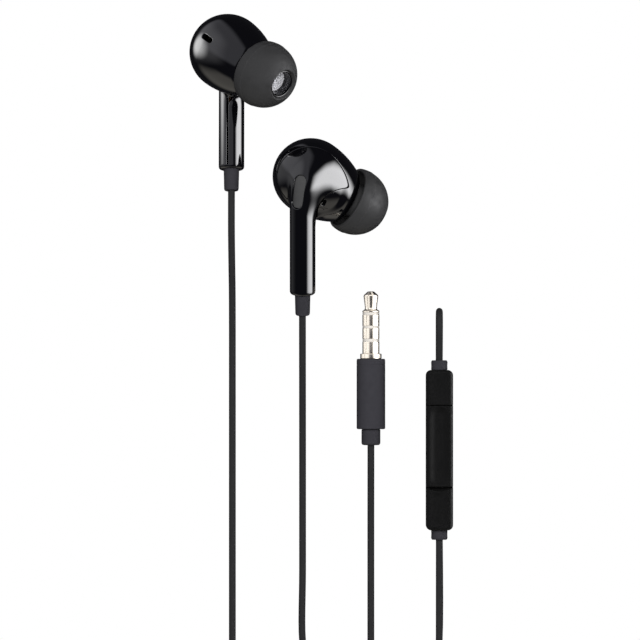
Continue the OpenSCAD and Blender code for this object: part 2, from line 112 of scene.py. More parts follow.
# The head is an egg whose long axis points a little below the nozzle's
EGG = np.array((turn("Y", HEAD_DROP) @ TO_NOZZLE).col[2][:3])
REMOTE = shift(24.6, -18.9, 1.4)
PLUG = shift(10.5, -16.6, GRIP_R) @ turn("X", -90)
SPLITTER = shift(-18, -101.5, 1.9) @ turn("X", 90)

# ---------------------------------------------------------------- camera

# Straight above, with +Y up the picture. The scale is true at the height of the plug's axis.
VIEW_Y = -0.0086
VIEW_HEIGHT, TRUE_HEIGHT = 1.5, 0.003
LENS_PER_METRE = 272.8
camera = bpy.data.objects.new("camera", bpy.data.cameras.new("camera"))
scene.collection.objects.link(camera)
camera.location = (0, VIEW_Y, VIEW_HEIGHT)
camera.data.lens = LENS_PER_METRE * (VIEW_HEIGHT - TRUE_HEIGHT)
camera.data.sensor_width = 36
camera.data.clip_start = 0.01
scene.camera = camera

# ---------------------------------------------------------------- materials


def node_in(tree, kind, inputs=(), **settings):
    """A shader node with its settings and the inputs given as (name, value or output socket)."""
    node = tree.nodes.new(kind)
    for key, value in settings.items():
        setattr(node, key, value)
    for name, value in inputs:
        if isinstance(value, bpy.types.NodeSocket):
            tree.links.new(value, node.inputs[name])
        else:
            node.inputs[name].default_value = value
    return node


def varied(tree, texture, low, high):
    """A texture's value spread over a range."""
    ramp = node_in(tree, "ShaderNodeMapRange", [("Value", texture), ("From Min", 0.3), ("From Max", 0.7),
                                                ("To Min", low), ("To Max", high)])
    return ramp.outputs["Result"]


def surface(name, color, rough, grain=1500, metal=0.0, spread=0.25, bump=0.1, depth=0.00002, tint=0.15,
            ior=1.5, level=0.5):
    """Procedural material: colour and roughness vary with a broad noise, and a fine grain gives the bump."""
    material = bpy.data.materials.new(name)
    material.use_nodes = True
    tree = material.node_tree
    shader = tree.nodes["Principled BSDF"]
    place = node_in(tree, "ShaderNodeTexCoord").outputs["Object"]
    broad = node_in(tree, "ShaderNodeTexNoise", [("Vector", place), ("Scale", grain / 8), ("Detail", 3.0)])
    fine = node_in(tree, "ShaderNodeTexNoise", [("Vector", place), ("Scale", grain), ("Detail", 2.0)])
    shade = node_in(tree, "ShaderNodeMix", data_type="RGBA")
    dark = [c * (1 - tint) for c in color]
    light = [min(1, c * (1 + tint)) for c in color]
    shade.inputs[6].default_value = (*dark, 1)
    shade.inputs[7].default_value = (*light, 1)
    tree.links.new(broad.outputs["Fac"], shade.inputs[0])
    tree.links.new(shade.outputs[2], shader.inputs["Base Color"])
    ends = rough * (1 - spread), rough * (1 + spread)
    tree.links.new(varied(tree, broad.outputs["Fac"], *ends), shader.inputs["Roughness"])
    relief = node_in(tree, "ShaderNodeBump", [("Strength", bump), ("Distance", depth),
                                              ("Height", fine.outputs["Fac"])])
    tree.links.new(relief.outputs["Normal"], shader.inputs["Normal"])
    shader.inputs["Metallic"].default_value = metal
    shader.inputs["Specular IOR Level"].default_value = level
    shader.inputs["IOR"].default_value = ior
    return material


# The wires, the driver's frame and the terminal board show only through narrow slots, where they are in shadow,
# so their colours (frame plastic, enamelled wire, solder resist) are painted dark: painted shade
LOOKS = {
    "gloss_shell": surface("gloss_black", (0.002, 0.002, 0.003), 0.06, grain=900, bump=0.02, ior=1.9),
    "wire_mesh": surface("steel_wire", (0.8, 0.8, 0.83), 0.35, metal=0.25, grain=4000),
    "silicone": surface("silicone", (0.043, 0.043, 0.044), 0.55, grain=5000, bump=0.25, level=0.25),
    "grille": surface("grille_cloth", (0.075, 0.075, 0.076), 0.75, grain=6000, bump=0.5, level=0.2),
    # painted shade: the frame's colour is set dark for the shadow in the slots
    "driver_frame": surface("frame_plastic_painted_shade", (0.012, 0.012, 0.012), 0.5),
    "driver_steel": surface("plated_steel", (0.55, 0.55, 0.56), 0.3, metal=1.0),
    "magnet": surface("nickel", (0.62, 0.6, 0.57), 0.18, metal=1.0),
    # painted shade: the wire's colour is set dark for the shadow in the slots
    "copper": surface("enamelled_wire_painted_shade", (0.03, 0.014, 0.007), 0.45, grain=9000, bump=0.5),
    "diaphragm": surface("film", (0.75, 0.73, 0.66), 0.35),
    # painted shade: the board's colour is set dark for the shadow in the slots
    "circuit_board": surface("solder_resist_painted_shade", (0.004, 0.012, 0.006), 0.4, tint=0.3),
    "switch_steel": surface("stamped_steel", (0.62, 0.62, 0.63), 0.3, metal=1.0),
    "microphone": surface("plated_can", (0.72, 0.62, 0.38), 0.25, metal=1.0),
    "relief": surface("relief_rubber", (0.046, 0.045, 0.052), 0.6, grain=4000, bump=0.2, level=0.05),
    "remote_case": surface("remote_plastic", (0.007, 0.007, 0.007), 0.5, grain=7000, bump=0.3, level=0.14),
    "plug_metal": surface("plug_plating", (0.6, 0.55, 0.48), 0.26, metal=1.0, grain=2500, bump=0.03),
    "insulator": surface("insulator", (0.92, 0.87, 0.8), 0.4, grain=3000, tint=0.05),
    "plug_core": surface("turned_brass", (0.7, 0.58, 0.36), 0.25, metal=1.0),
    "plug_grip": surface("grip_plastic", (0.052, 0.051, 0.059), 0.6, grain=6000, bump=0.3, level=0.03),
    "splitter": surface("splitter_plastic", (0.04, 0.04, 0.042), 0.5, grain=6000, bump=0.3, level=0.2),
    "cord": surface("cord_rubber", (0.032, 0.032, 0.033), 0.6, grain=3000, bump=0.15, level=0.03),
    "tie": surface("tie_rubber", (0.045, 0.045, 0.046), 0.6, grain=6000, bump=0.4, level=0.2),
}

# ---------------------------------------------------------------- cords


def smooth_line(points, steps=6):
    """A smooth curve through the points (Catmull-Rom)."""
    p = [np.array(q, float) for q in points]
    p = [2 * p[0] - p[1], *p, 2 * p[-1] - p[-2]]
    line = []
    for a, b, c, d in zip(p, p[1:], p[2:], p[3:]):
        for t in np.arange(steps) / steps:
            line.append(0.5 * (2 * b + (c - a) * t + (2 * a - 5 * b + 4 * c - d) * t * t
                               + (3 * b - a - 3 * c + d) * t ** 3))
    return line + [p[-2]]


def wound(centre, lanes, start, last=360):
    """Turns of a coil, counter-clockwise from an angle. Each lane (radius, height) is one turn, and the cord
    changes to the next lane near the turn's end. The last lane may be cut short."""
    step, change = 10, 70
    line = []
    for i, (r, z) in enumerate(lanes):
        following = lanes[min(i + 1, len(lanes) - 1)]
        sweep = last if i == len(lanes) - 1 else 360
        for degrees in range(0, sweep, step):
            t = min(1, max(0, (degrees - 360 + change) / change))
            t = t * t * (3 - 2 * t)
            angle = math.radians(start + degrees)
            here = (1 - t) * np.array([r, z]) + t * np.array(following)
            line.append(np.array([centre[0] + here[0] * math.cos(angle),
                                  centre[1] + here[0] * math.sin(angle), here[1]]))
    end = math.radians(start + last)
    r, z = lanes[-1]
    return line + [np.array([centre[0] + r * math.cos(end), centre[1] + r * math.sin(end), z])]


def cord_piece(name, line, *nodes):
    """A round cord along a line, nowhere below the floor, that stands for the CAD's stretches of it."""
    curve = bpy.data.curves.new(name, "CURVE")
    curve.dimensions = "3D"
    curve.bevel_depth = CORD_LOOK_R * MM
    curve.bevel_resolution = 5
    curve.use_fill_caps = True
    spline = curve.splines.new("POLY")
    spline.points.add(len(line) - 1)
    for point, place in zip(spline.points, line):
        point.co = (place[0], place[1], max(place[2], CORD_LOOK_R * MM), 1)
    piece = bpy.data.objects.new(name, curve)
    scene.collection.objects.link(piece)
    curve.materials.append(LOOKS["cord"])
    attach(piece, "root")
    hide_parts(*nodes)
    return piece


LEFT_ROUTE = [
    (-0.0182, 0.01795, 0.0076), (-0.0182, 0.014, 0.0081), (-0.0182, 0.009, 0.0076), (-0.01815, 0.003, 0.0055),
    (-0.0181, -0.003, 0.0029), (-0.0181, -0.009, 0.0011), (-0.0181, -0.015, 0.0007), (-0.0181, -0.035, 0.0007),
    (-0.0181, -0.06, 0.0007), (-0.0181, -0.078, 0.0008), (-0.0181, -0.0834, 0.001),
]
LEFT_END_ROUTE = [
    (-0.0194, -0.092, 0.001), (-0.0193, -0.096, 0.0009), (-0.01895, -0.099, 0.0015), (-0.01895, -0.1015, 0.0019),
]
RIGHT_UPPER_ROUTE = [
    (-0.0036, -0.0076, 0.0111), (-0.0036, -0.012, 0.0098), (-0.0036, -0.018, 0.0075), (-0.0036, -0.024, 0.0049),
    (-0.0036, -0.03, 0.0026), (-0.0036, -0.036, 0.0011), (-0.0036, -0.042, 0.0007), (-0.0036, -0.06, 0.0007),
    (-0.0036, -0.075, 0.0007), (-0.0017, -0.0821, 0.0007), (0.0034, -0.0872, 0.0014), (0.0105, -0.0891, 0.0022),
    (0.0176, -0.0872, 0.0014), (0.0227, -0.0821, 0.0007), (0.0246, -0.075, 0.0007), (0.0246, -0.045, 0.0007),
    (0.0246, -0.014, 0.0007), (0.0246, -0.0095, 0.0007), (0.0246, -0.0076, 0.0014), (0.0246, -0.0068, 0.0033),
    (0.0246, -0.0076, 0.0052), (0.0246, -0.0095, 0.006), (0.0246, -0.013, 0.005), (0.0246, -0.017, 0.0032),
]
RIGHT_LOWER_ROUTE = [
    (0.0246, -0.0538, 0.0032), (0.0246, -0.058, 0.0028), (0.0246, -0.065, 0.0023), (0.0246, -0.073, 0.0021),
    (0.0246, -0.079, 0.002), (0.0246, -0.084, 0.0012), (0.0246, -0.089, 0.0007), (0.0236, -0.0933, 0.0007),
    (0.0206, -0.0962, 0.0007), (0.017, -0.097, 0.0009), (0.0135, -0.0971, 0.0017), (0.0105, -0.0971, 0.0022),
    (0.0075, -0.0971, 0.0017), (0.004, -0.0972, 0.0008), (-0.005, -0.0978, 0.0007), (-0.012, -0.0981, 0.0007),
    (-0.0146, -0.0984, 0.0009), (-0.0165, -0.0995, 0.0014), (-0.01705, -0.1015, 0.0019),
]
TRUNK_ROUTE = [
    (0.0105, -0.0344, 0.00295), (0.0105, -0.038, 0.0027), (0.0105, -0.043, 0.0017), (0.0105, -0.048, 0.0009),
    (0.0105, -0.053, 0.0007), (0.0105, -0.075, 0.0007), (0.0105, -0.098, 0.0007), (0.0105, -0.1055, 0.001),
]
TRUNK_END_ROUTE = [
    (-0.018, -0.1142, 0.0019), (-0.0172, -0.1166, 0.002), (-0.015, -0.118, 0.0022), (-0.011, -0.1181, 0.0029),
    (-0.0065, -0.1181, 0.0041), (-0.0024, -0.1181, 0.005),
]
LEFT_COIL_AT, TRUNK_COIL_AT = (-0.01175, -0.0886), (0.001, -0.1086)
LEFT_COIL_R, TRUNK_COIL_R = 7, 7.5


def lane(middle, columns, column, layer):
    """(radius, height) of one turn in a coil's square bundle, in metres."""
    radius = middle + (column - (columns - 1) / 2) * CORD_D
    return radius * MM, (COIL_LIFT + (layer + 0.5) * CORD_D) * MM


left_lanes = [lane(LEFT_COIL_R, 2, column, layer) for column, layer in ((0, 0), (0, 1), (1, 1), (1, 0))]
trunk_lanes = []
for layer in (3, 2, 1, 0):
    columns = range(4) if layer % 2 == 0 else reversed(range(4))
    trunk_lanes += [lane(TRUNK_COIL_R, 4, column, layer) for column in columns]

left_line = smooth_line(LEFT_ROUTE) + wound(LEFT_COIL_AT, left_lanes, 180) + smooth_line(LEFT_END_ROUTE)
right_upper_line = smooth_line(RIGHT_UPPER_ROUTE)
right_lower_line = smooth_line(RIGHT_LOWER_ROUTE)
trunk_line = (smooth_line(TRUNK_END_ROUTE) + wound(TRUNK_COIL_AT, trunk_lanes, 270, last=90)
              + smooth_line(TRUNK_ROUTE[::-1]))

left_cord = cord_piece("left_cord_line", left_line, "left_cord", "left_cord_end", "left_coil")
right_upper_cord = cord_piece("right_upper_cord_line", right_upper_line, "right_upper_cord")
right_lower_cord = cord_piece("right_lower_cord_line", right_lower_line, "right_lower_cord")
trunk_cord = cord_piece("trunk_cord_line", trunk_line, "trunk_cord", "trunk_cord_end", "trunk_coil")

# ---------------------------------------------------------------- meshes


def finished(name, mesh, node, body=None):
    """Makes a mesh in the shared frame a piece that stands for a CAD node."""
    piece = bpy.data.objects.new(name, mesh)
    scene.collection.objects.link(piece)
    slot = SLOT_OF[node]
    mesh.materials.clear()
    mesh.materials.append(LOOKS[slot])
    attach(piece, body or BODY_OF[node])
    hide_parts(node)
    return piece


def mesh_of(name, points, faces, place, normals=None):
    """A mesh in metres from points in a piece's own frame in mm. Faces turn over where the place mirrors."""
    place = np.array(place)
    moved = (np.asarray(points) @ place[:3, :3].T + place[:3, 3]) * MM
    mirrored = np.linalg.det(place[:3, :3]) < 0
    mesh = bpy.data.meshes.new(name)
    mesh.from_pydata(moved.tolist(), [], [f[::-1] if mirrored else f for f in faces])
    mesh.update()
    mesh.polygons.foreach_set("use_smooth", [True] * len(mesh.polygons))
    if normals is None:
        mesh.set_sharp_from_angle(angle=math.radians(35))
    else:
        mesh.normals_split_custom_set_from_vertices((np.asarray(normals) @ place[:3, :3].T).tolist())
    return mesh


def arc(centre, radius, start, end, steps):
    """Points of a circle's arc in an outline."""
    angles = np.radians(np.linspace(start, end, steps + 1))
    return [(centre[0] + radius * math.cos(a), centre[1] + radius * math.sin(a)) for a in angles]


def eased(outline, radius, closed=True, steps=4):
    """The outline with its sharp corners rounded."""
    count = len(outline)
    out = []
    for i, here in enumerate(outline):
        if not closed and i in (0, count - 1):
            out.append(tuple(here))
            continue
        before, p, after = (Vector(outline[(i + k) % count]) for k in (-1, 0, 1))
        a, b = before - p, after - p
        angle = a.angle(b, math.pi)
        if angle > math.radians(160) or min(a.length, b.length) < 1e-6:
            out.append(tuple(p))
            continue
        cut = min(radius / math.tan(angle / 2), 0.45 * a.length, 0.45 * b.length)
        start, end = p + a.normalized() * cut, p + b.normalized() * cut
        for t in np.linspace(0, 1, steps + 1):
            out.append(tuple(start * (1 - t) ** 2 + p * 2 * t * (1 - t) + end * t * t))
    return out


def turned(name, outline, node, place, around=96, edge=0.08, closed=True):
    """A turned piece: an outline of (radius, height) turned about the axis. An open outline starts and ends on
    the axis."""
    line = eased(outline, edge, closed)
    angles = np.linspace(0, 2 * math.pi, around, endpoint=False)
    points, rings = [], []
    for r, z in line:
        if r < 1e-6:
            rings.append([len(points)] * around)
            points.append((0, 0, z))
        else:
            rings.append(list(range(len(points), len(points) + around)))
            points += [(r * math.cos(a), r * math.sin(a), z) for a in angles]
    faces = []
    for i in range(len(rings) if closed else len(rings) - 1):
        a, b = rings[i], rings[(i + 1) % len(rings)]
        for k in range(around):
            corners = [a[k], a[(k + 1) % around], b[(k + 1) % around], b[k]]
            kept = list(dict.fromkeys(corners))
            if len(kept) > 2:
                faces.append(kept)
    return finished(name, mesh_of(name, points, faces, place), node)


# ---------------------------------------------------------------- earbud surface


def soft_min(a, b, k):
    h = np.clip(0.5 + 0.5 * (b - a) / k, 0, 1)
    return b + (a - b) * h - k * h * (1 - h)


def soft_max(a, b, k):
    return -soft_min(-a, -b, k)


def eased_step(x):
    x = np.clip(x, 0, 1)
    return x * x * (3 - 2 * x)


def head_field(p):
    """Distance outside the head: a round back, and a front that narrows along an arc."""
    q = p - np.array(HEAD_AT)
    z = q @ EGG
    r = np.linalg.norm(q - z[:, None] * EGG, axis=1)
    back = np.hypot(r, z) - HEAD_R
    side = np.hypot(r + FRONT_ARC_R - HEAD_R, z) - FRONT_ARC_R
    return soft_max(np.where(z < 0, back, side), p @ NOZZLE - FRONT_LEN, FRONT_SOFT)


def stem_field(p):
    """The stem, which bends into the head at its top."""
    above = np.maximum(p[:, 2] - STEM_TOP, 0)
    axis_y = STEM_Y + STEM_BEND * np.maximum(p[:, 2] + 1, 0) ** 2
    rod = np.sqrt((p[:, 0] - STEM_X) ** 2 + (p[:, 1] - axis_y) ** 2 + above ** 2) - STEM_R
    return soft_max(rod, -STEM_LEN - p[:, 2], STEM_END_ROUND)


def body_field(p):
    """Head and stem in one skin: a tight crease on the stem's left, and a wide flare on its right."""
    flare = 0.8 + 2.4 * eased_step((p[:, 0] - STEM_X + 2.2) / 3.6)
    return soft_min(head_field(p), stem_field(p), flare)


def bite_side(p):
    """Negative inside the round bite that the outer shell leaves between the stem and the cap."""
    across, up = BITE_X - p[:, 0], p[:, 2] - BITE_Z
    outside = np.hypot(np.maximum(across, 0), np.maximum(up, 0))
    return outside + np.minimum(np.maximum(across, up), 0) - BITE_R


def seam_side(p):
    """Negative on the outer shell's side of the seam."""
    return soft_max(p[:, 1] - SEAM_Y, -bite_side(p), SEAM_ROUND)


def inner_field(p):
    """The inner shell's skin: flush at the seam, and the bare head, a step lower, in the bite."""
    uncovered = eased_step((SEAM_Y - 0.05 - p[:, 1]) / 0.9)
    return body_field(p) * (1 - uncovered) + (head_field(p) + BITE_STEP) * uncovered


def pill_side(p, centre, across, along, width, length):
    """Negative inside a pill-shaped hole seen along the third direction."""
    d = p - centre
    u, v = d @ across, d @ along
    return np.hypot(u, np.maximum(np.abs(v) - (length - width) / 2, 0)) - width / 2


GRILLE = shift(STEM_X, STEM_Y, GRILLE_Z) @ turn("Z", -GRILLE_TURN) @ turn("X", 90) @ turn("Z", -GRILLE_TILT)
G_ACROSS, G_ALONG, G_OUT, G_AT = (np.array(GRILLE.col[k][:3]) for k in range(4))


def grille_side(p):
    """Negative inside the grille's hole, on the outer face only."""
    hole = pill_side(p, G_AT, G_ACROSS, G_ALONG, GRILLE_W, GRILLE_L)
    return np.where((p - G_AT) @ G_OUT > 0.8, hole, 9)


# Slots in the inner shell: centre, direction along, width and length
SLOTS = [
    ((-1.84, 7.67, 2.03), (0.74, 0.34, -0.57), 1.1, 3.2),
    ((3.3, -5.65, -4.0), (0.36, -0.38, 0.9), 0.55, 1.6),
]


def slot_side(p, centre, along, width, length):
    """Negative inside a slot that is cut straight in towards the head's centre."""
    centre, along = np.array(centre), np.array(along)
    out = centre / np.linalg.norm(centre)
    along = along - (along @ out) * out
    along /= np.linalg.norm(along)
    hole = pill_side(p, centre, np.cross(out, along), along, width, length)
    return np.where(p @ out > 3, hole, 9)


def outer_keep(p):
    """Negative where the outer shell is kept: its side of the seam, without the grille's hole."""
    return np.maximum(seam_side(p) + SEAM_GAP, -grille_side(p))


def inner_keep(p):
    """Negative where the inner shell is kept: its side of the seam, without the nozzle's root and the slots."""
    z = p @ NOZZLE
    r = np.linalg.norm(p - z[:, None] * NOZZLE, axis=1)
    keep = np.maximum(SEAM_GAP - seam_side(p), np.where(z > 0, NECK_R + 0.05 - r, -9))
    for slot in SLOTS:
        keep = np.maximum(keep, -slot_side(p, *slot))
    return keep


def slope(field, p, h=1e-3):
    """Gradient of a field."""
    out = np.empty_like(p)
    for k in range(3):
        d = np.zeros(3)
        d[k] = h
        out[:, k] = (field(p + d) - field(p - d)) / (2 * h)
    return out


def unit(v):
    return v / np.maximum(np.linalg.norm(v, axis=1, keepdims=True), 1e-12)


def onto(field, p, steps=5):
    """Points moved onto the surface where the field is 0."""
    for _ in range(steps):
        g = slope(field, p)
        p = p - (field(p) / np.maximum((g * g).sum(1), 1e-9))[:, None] * g
    return p


def surface_net(field, low, high, step):
    """Points and quads of the surface where the field is 0, one point in each grid cell that it passes."""
    axes = [np.arange(a, b + step, step) for a, b in zip(low, high)]
    grid = np.stack(np.meshgrid(*axes, indexing="ij"), axis=-1)
    value = field(grid.reshape(-1, 3)).reshape(grid.shape[:3])
    inside = value < 0
    shape = np.array(value.shape) - 1
    total, count = np.zeros((*shape, 3)), np.zeros(shape)
    crossings = []
    for axis in range(3):
        near = [slice(None)] * 3
        far = [slice(None)] * 3
        near[axis], far[axis] = slice(None, -1), slice(1, None)
        a, b = value[tuple(near)], value[tuple(far)]
        at = np.argwhere((a < 0) != (b < 0))
        t = a[tuple(at.T)] / (a[tuple(at.T)] - b[tuple(at.T)])
        place = np.array(low) + at * step
        place[:, axis] += t * step
        others = [k for k in range(3) if k != axis]
        for back in ((0, 0), (0, 1), (1, 0), (1, 1)):
            cell = at.copy()
            cell[:, others[0]] -= back[0]
            cell[:, others[1]] -= back[1]
            np.add.at(total, tuple(cell.T), place)
            np.add.at(count, tuple(cell.T), 1)
        crossings.append((axis, others, at))
    used = count > 0
    number = np.full(tuple(shape), -1)
    number[used] = np.arange(used.sum())
    points = total[used] / count[used][:, None]
    quads = []
    for axis, others, at in crossings:
        ring = []
        for back in ((1, 1), (0, 1), (0, 0), (1, 0)):
            cell = at.copy()
            cell[:, others[0]] -= back[0]
            cell[:, others[1]] -= back[1]
            ring.append(number[tuple(cell.T)])
        ring = np.stack(ring, axis=1)
        outward = inside[tuple(at.T)]
        if axis == 1:
            outward = ~outward
        ring[~outward] = ring[~outward][:, ::-1]
        quads += ring.tolist()
    return points, quads


def relaxed(field, points, quads, rounds=4):
    """Points evened out over the surface."""
    q = np.array(quads)
    edges = np.unique(np.sort(np.concatenate([q[:, [k, (k + 1) % 4]] for k in range(4)]), axis=1), axis=0)
    for _ in range(rounds):
        total, count = np.zeros_like(points), np.zeros(len(points))
        for a, b in ((0, 1), (1, 0)):
            np.add.at(total, edges[:, a], points[edges[:, b]])
            np.add.at(count, edges[:, a], 1)
        points = onto(field, 0.5 * points + 0.5 * total / count[:, None], 2)
    return points


def trimmed(field, keep, points, faces, step):
    """The part of a surface where keep is below 0, with its rim on the line where it is 0."""
    points = points.copy()
    for _ in range(4):
        k = keep(points)
        near = np.abs(k) < 0.3 * step
        p = points[near]
        n = unit(slope(field, p))
        g = slope(keep, p)
        g -= (g * n).sum(1)[:, None] * n
        p = p - (keep(p) / np.maximum((g * g).sum(1), 0.05))[:, None] * g
        points[near] = onto(field, p, 1)
    k = keep(points)
    k[np.abs(k) < 0.06 * step] = 0
    made, cut = {}, []
    points = list(points)
    for face in faces:
        signs = k[face]
        if (signs <= 0).all():
            if (signs < 0).any():
                cut.append(list(face))
            continue
        if (signs >= 0).all():
            continue
        ring = []
        for i, a in enumerate(face):
            b = face[(i + 1) % len(face)]
            if k[a] <= 0:
                ring.append(a)
            if k[a] * k[b] < 0:
                key = (min(a, b), max(a, b))
                if key not in made:
                    t = k[a] / (k[a] - k[b])
                    made[key] = len(points)
                    points.append(points[a] * (1 - t) + points[b] * t)
                ring.append(made[key])
        if len(ring) > 2:
            cut.append(ring)
    used = sorted({i for f in cut for i in f})
    number = {old: new for new, old in enumerate(used)}
    points = onto(field, np.array([points[i] for i in used]), 2)
    return points, [[number[i] for i in f] for f in cut]


def rims(faces):
    """The closed rims of a surface, each as a list of points in its faces' order."""
    edges = {}
    for f in faces:
        for a, b in zip(f, f[1:] + f[:1]):
            edges[(a, b)] = edges.get((a, b), 0) + 1
    follow = {a: b for a, b in edges if (b, a) not in edges}
    loops = []
    while follow:
        start, here = next(iter(follow.items()))
        loop = [start]
        del follow[start]
        while here != start:
            loop.append(here)
            here = follow.pop(here)
        loops.append(loop)
    return loops


def shell(field, keep, net, edge=SEAM_EDGE, wall=WALL):
    """A closed shell under the kept part of a surface, with rounded edges: (points, faces, normals)."""
    points, faces = trimmed(field, lambda p: keep(p) + edge, *net, NET_STEP)
    out = unit(slope(field, points))
    all_points, all_normals = [points, points - wall * out], [out, -out]
    count = len(points)
    all_faces = faces + [[i + count for i in f[::-1]] for f in faces]
    size = 2 * count
    for loop in rims(faces):
        p, n = points[loop], out[loop]
        side = slope(keep, p)
        side = unit(side - (side * n).sum(1)[:, None] * n)
        rows = [np.array(loop)]
        for degrees in (30, 60, 90):
            s, c = math.sin(math.radians(degrees)), math.cos(math.radians(degrees))
            all_points.append(p + edge * s * side - edge * (1 - c) * n)
            all_normals.append(unit(s * side + c * n))
            rows.append(np.arange(size, size + len(loop)))
            size += len(loop)
        all_points.append(p + edge * side - wall * n)
        all_normals.append(side)
        rows.append(np.arange(size, size + len(loop)))
        size += len(loop)
        rows.append(np.array(loop) + count)
        for a, b in zip(rows, rows[1:]):
            for i in range(len(loop)):
                j = (i + 1) % len(loop)
                all_faces.append([int(a[j]), int(a[i]), int(b[i]), int(b[j])])
    return np.concatenate(all_points), all_faces, np.concatenate(all_normals)


def net_of(field, low, high):
    """An even net of quads on the surface where the field is 0."""
    points, quads = surface_net(field, low, high, NET_STEP)
    return relaxed(field, onto(field, points), quads), quads


BODY_NET = net_of(body_field, (-9.6, -10.4, -24.2), (10.2, 10.4, 9.6))
INNER_NET = net_of(inner_field, (-9.6, -9.6, -9.6), (10.2, 10.4, 9.6))


def bud_shells(side, place):
    """The outer and inner housings, and the nozzle."""
    points, faces, normals = shell(body_field, outer_keep, BODY_NET)
    node = f"{side}_outer_shell"
    finished(f"{node}_look", mesh_of(node, points, faces, place, normals), node)
    points, faces, normals = shell(inner_field, inner_keep, INNER_NET)
    node = f"{side}_inner_shell"
    finished(f"{node}_look", mesh_of(node, points, faces, place, normals), node)
    # The nozzle is part of the inner shell
    outline = [(NOZZLE_BORE_R, FRONT_LEN - WALL), (NECK_R, FRONT_LEN - WALL), (NECK_R, NOZZLE_END - LIP_LEN),
               (LIP_R, NOZZLE_END - LIP_LEN + 0.15), (LIP_R, NOZZLE_END), (LIP_R - 0.2, NOZZLE_END),
               (MESH_R, MESH_Z - 0.2), (NOZZLE_BORE_R, MESH_Z - 0.2)]
    turned(f"{side}_nozzle_look", outline, node, place @ TO_NOZZLE, edge=0.12)


def grille(side, place):
    """The woven cloth at the bottom of the grille's recess, on a skin under the stem's surface."""
    node = f"{side}_vent_grille"
    rows, columns = 96, 36
    half_w, half = GRILLE_W / 2 - GRILLE_CLEAR, GRILLE_L / 2 - GRILLE_CLEAR
    p, lift = [], []
    for v in np.linspace(-half, half, rows):
        beyond = max(abs(v) - (half - half_w), 0)
        width = math.sqrt(max(half_w ** 2 - beyond ** 2, 0.0004))
        for u in np.linspace(-width, width, columns):
            p.append(G_AT + u * G_ACROSS + v * G_ALONG + 2.4 * G_OUT)
            lift.append(CLOTH_HEIGHT * math.cos(2 * math.pi * u / CLOTH_PITCH)
                        * math.cos(2 * math.pi * v / CLOTH_PITCH))
    p, lift = np.array(p), np.array(lift)
    for _ in range(12):
        p -= ((body_field(p) + GRILLE_DEEP) / (slope(body_field, p) @ G_OUT))[:, None] * G_OUT
    back = p - GRILLE_THICK * G_OUT
    p += lift[:, None] * G_OUT
    count = len(p)
    faces = []
    for j in range(rows - 1):
        for i in range(columns - 1):
            a = j * columns + i
            face = [a, a + 1, a + 1 + columns, a + columns]
            faces += [face, [k + count for k in face[::-1]]]
    for loop in rims([f for f in faces if f[0] < count]):
        faces += [[b, a, a + count, b + count] for a, b in zip(loop, loop[1:] + loop[:1])]
    finished(f"{node}_look", mesh_of(node, np.concatenate([p, back]), faces, place), node)


def woven_disc(side, place):
    """Woven wire in the nozzle's end, over a pale damping cloth."""
    node = f"{side}_nozzle_mesh"
    wires, wire_r, samples, sides = 15, 0.055, 44, 6
    radius = MESH_R - 0.1
    spacing = 2 * radius / wires
    points, faces = [], []
    for direction in (0, 1):
        for w in range(wires):
            across = (w + 0.5) * spacing - radius
            half = math.sqrt(radius ** 2 - across ** 2)
            for i in range(samples):
                along = half * (2 * i / (samples - 1) - 1)
                phase = math.pi * (along + radius) / spacing + math.pi * (w + direction)
                height = MESH_Z + wire_r * math.sin(phase)
                for k in range(sides):
                    angle = 2 * math.pi * k / sides
                    u, v = across + wire_r * math.cos(angle), height + wire_r * math.sin(angle)
                    points.append((along, u, v) if direction else (u, along, v))
                start = len(points) - 2 * sides
                for k in range(sides if i else 0):
                    ring = [start + k, start + (k + 1) % sides, start + sides + (k + 1) % sides, start + sides + k]
                    faces.append(ring if direction else ring[::-1])
            caps = [list(range(len(points) - sides, len(points))),
                    list(range(len(points) - samples * sides, len(points) - (samples - 1) * sides))[::-1]]
            faces += caps if direction else [c[::-1] for c in caps]
    finished(f"{node}_look", mesh_of(node, points, faces, place @ TO_NOZZLE), node)
    cloth = [(0, MESH_Z - 0.28), (MESH_R - 0.02, MESH_Z - 0.28), (MESH_R - 0.02, MESH_Z - 0.16),
             (0, MESH_Z - 0.16)]
    turned(f"{side}_mesh_backing_look", cloth, node, place @ TO_NOZZLE, closed=False)


def ear_tip(side, place):
    """A silicone dome with a slightly wider band at its back, on a core that grips the nozzle."""
    node = f"{side}_ear_tip"

    def dome(radius, z):
        return math.degrees(math.asin((z - TIP_MID) / radius))

    band_r, band_end, inner_r = TIP_R, TIP_BACK + 2.3, TIP_R - TIP_SKIN
    dome_r = TIP_R - 0.07
    mouth_edge = math.sqrt(dome_r ** 2 - (TIP_MOUTH - TIP_MID) ** 2)
    outline = [(TIP_BORE_R, TIP_BACK), (TIP_BORE_R, TIP_MOUTH - 0.45), (MOUTH_R, TIP_MOUTH),
               (mouth_edge + 0.05, TIP_MOUTH - 0.02)]
    outline += arc((0, TIP_MID), dome_r, dome(dome_r, TIP_MOUTH - 0.12), dome(dome_r, band_end), 22)
    outline += arc((0, TIP_MID), band_r, dome(band_r, band_end - 0.12), dome(band_r, TIP_BACK), 8)
    outline += arc((0, TIP_MID), inner_r, dome(inner_r, TIP_BACK), dome(inner_r, TIP_MOUTH - 1.2), 16)
    outline += [(TIP_CORE_R, TIP_MOUTH - 1.2), (TIP_CORE_R, TIP_BACK)]
    turned(f"{node}_look", outline, node, place @ TO_NOZZLE, around=128, edge=0.16)


def strain_relief(side, place):
    node = f"{side}_strain_relief"
    down = place @ shift(STEM_X, STEM_Y, -STEM_LEN - RELIEF_LEN)
    outline = [(CORD_R, 0.0), (1.38, 0.0), (1.5, 0.4), (1.6, RELIEF_LEN), (1.8, RELIEF_LEN),
               (1.8, RELIEF_LEN + 0.5), (CORD_R, RELIEF_LEN + 0.5)]
    turned(f"{node}_look", outline, node, down, around=64, edge=0.3)


